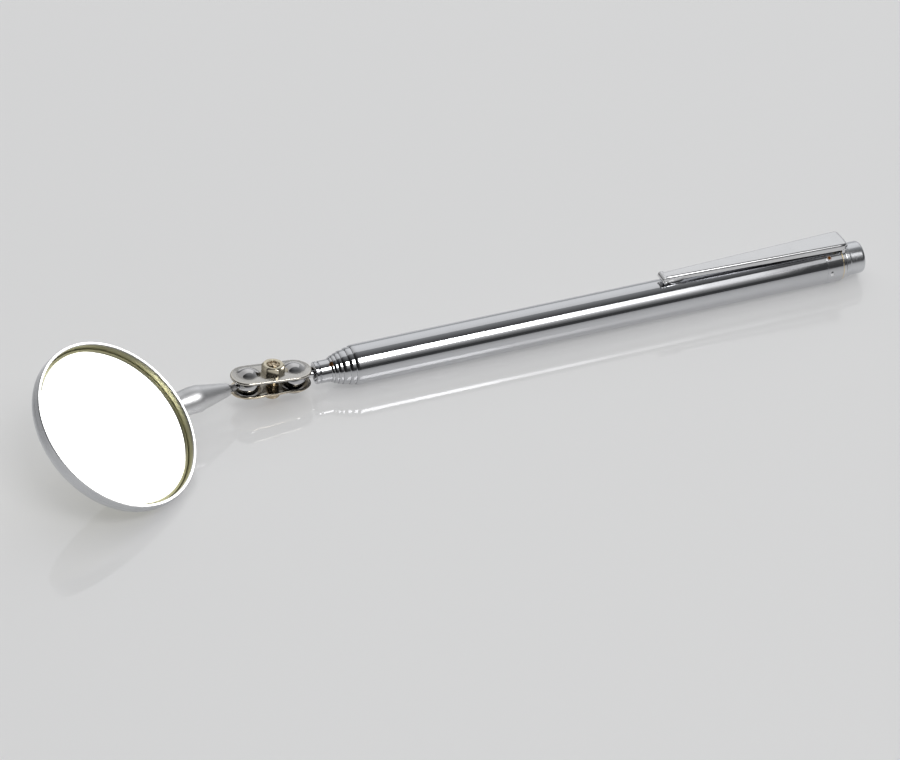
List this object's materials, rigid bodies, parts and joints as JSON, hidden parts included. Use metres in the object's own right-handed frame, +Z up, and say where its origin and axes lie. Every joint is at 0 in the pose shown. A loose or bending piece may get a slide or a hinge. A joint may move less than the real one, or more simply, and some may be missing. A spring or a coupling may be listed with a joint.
{
  "type": "telescopic inspection mirror",
  "caption": "Pocket inspection mirror: round mirror in a metal cup, turned stem, two-ball friction clamp, telescoping handle with pocket clip and end knob.",
  "frame": {"origin": "middle of the footprint, on the surface the mirror lies on", "axes": "+X along the handle towards the end knob, +Z up; the pocket clip is on top"},
  "size_m": [0.1534, 0.0296, 0.0212],
  "materials": {
    "bright_chrome": "polished chrome plate",
    "brushed_chrome": "fine brushed chrome plate",
    "polished_steel": "polished steel",
    "nickel_plate": "nickel plated pressed steel",
    "pale_nickel": "warm nickel over brass",
    "satin_aluminium": "satin turned",
    "mirror_face": "silvered glass",
    "brass": "bare brass edge",
    "spring_bronze": "spring temper bronze",
    "adhesive": "soft adhesive disc"
  },
  "bodies": {
    "handle": {"barrel": "bright_chrome", "rear_ferrule": "bright_chrome", "seat_ring": "brass", "clip_collar": "bright_chrome", "end_knob": "brushed_chrome"},
    "clip": {"clip_arm": "bright_chrome"},
    "section_1": {"inner_tube_1": "bright_chrome", "spring_sleeve_1": "spring_bronze"},
    "section_2": {"inner_tube_2": "bright_chrome", "spring_sleeve_2": "spring_bronze"},
    "section_3": {"inner_tube_3": "bright_chrome", "spring_sleeve_3": "spring_bronze"},
    "section_4": {"inner_tube_4": "bright_chrome", "spring_sleeve_4": "spring_bronze"},
    "section_5": {"inner_tube_5": "bright_chrome", "spring_sleeve_5": "spring_bronze"},
    "section_6": {"inner_tube_6": "bright_chrome", "spring_sleeve_6": "spring_bronze", "tip_ferrule": "bright_chrome"},
    "rear_ball": {"rear_ball_stud": "polished_steel"},
    "clamp": {"clamp_plate_upper": "nickel_plate", "clamp_plate_lower": "nickel_plate", "clamp_screw": "pale_nickel"},
    "nut": {"clamp_nut": "pale_nickel"},
    "front_ball": {"front_ball_stud": "polished_steel"},
    "mirror_head": {"stem": "satin_aluminium", "mirror_cup": "satin_aluminium", "mirror_glass": "mirror_face", "glass_pad": "adhesive", "cup_rivet": "satin_aluminium"}
  },
  "joints": [
    {"name": "clip_flex", "type": "hinge", "parent": "handle", "child": "clip", "pos_m": [0.07249, 0.01132, 0.0076], "axis": [0, 1, 0], "range_deg": [0, 3], "stiffness_Nm_per_rad": 1.2},
    {"name": "section_1_slide", "type": "slide", "parent": "handle", "child": "section_1", "axis": [-1, 0, 0], "range_m": [0, 0.068]},
    {"name": "section_2_slide", "type": "slide", "parent": "section_1", "child": "section_2", "axis": [-1, 0, 0], "range_m": [0, 0.068]},
    {"name": "section_3_slide", "type": "slide", "parent": "section_2", "child": "section_3", "axis": [-1, 0, 0], "range_m": [0, 0.068]},
    {"name": "section_4_slide", "type": "slide", "parent": "section_3", "child": "section_4", "axis": [-1, 0, 0], "range_m": [0, 0.068]},
    {"name": "section_5_slide", "type": "slide", "parent": "section_4", "child": "section_5", "axis": [-1, 0, 0], "range_m": [0, 0.068]},
    {"name": "section_6_slide", "type": "slide", "parent": "section_5", "child": "section_6", "axis": [-1, 0, 0], "range_m": [0, 0.068]},
    {"name": "rear_ball_roll", "type": "hinge", "parent": "section_6", "child": "rear_ball", "pos_m": [-0.02935, 0.01132, 0.0035], "axis": [1, 0, 0], "continuous": true},
    {"name": "clamp_swing", "type": "hinge", "parent": "rear_ball", "child": "clamp", "pos_m": [-0.02935, 0.01132, 0.0035], "axis": [0.0975, 0.0401, 0.9944], "range_deg": [-88, 88]},
    {"name": "nut_turn", "type": "hinge", "parent": "clamp", "child": "nut", "pos_m": [-0.03306, 0.01132, 0.00386], "axis": [0.0975, 0.0401, 0.9944], "range_deg": [-45, 45]},
    {"name": "stem_swing", "type": "hinge", "parent": "clamp", "child": "front_ball", "pos_m": [-0.03741, 0.01132, 0.00429], "axis": [-0.0975, -0.0401, -0.9944], "range_deg": [-110, 110]},
    {"name": "mirror_roll", "type": "hinge", "parent": "front_ball", "child": "mirror_head", "pos_m": [-0.03741, 0.01132, 0.00429], "axis": [-0.9372, -0.3131, 0.1537], "continuous": true}
  ]
}
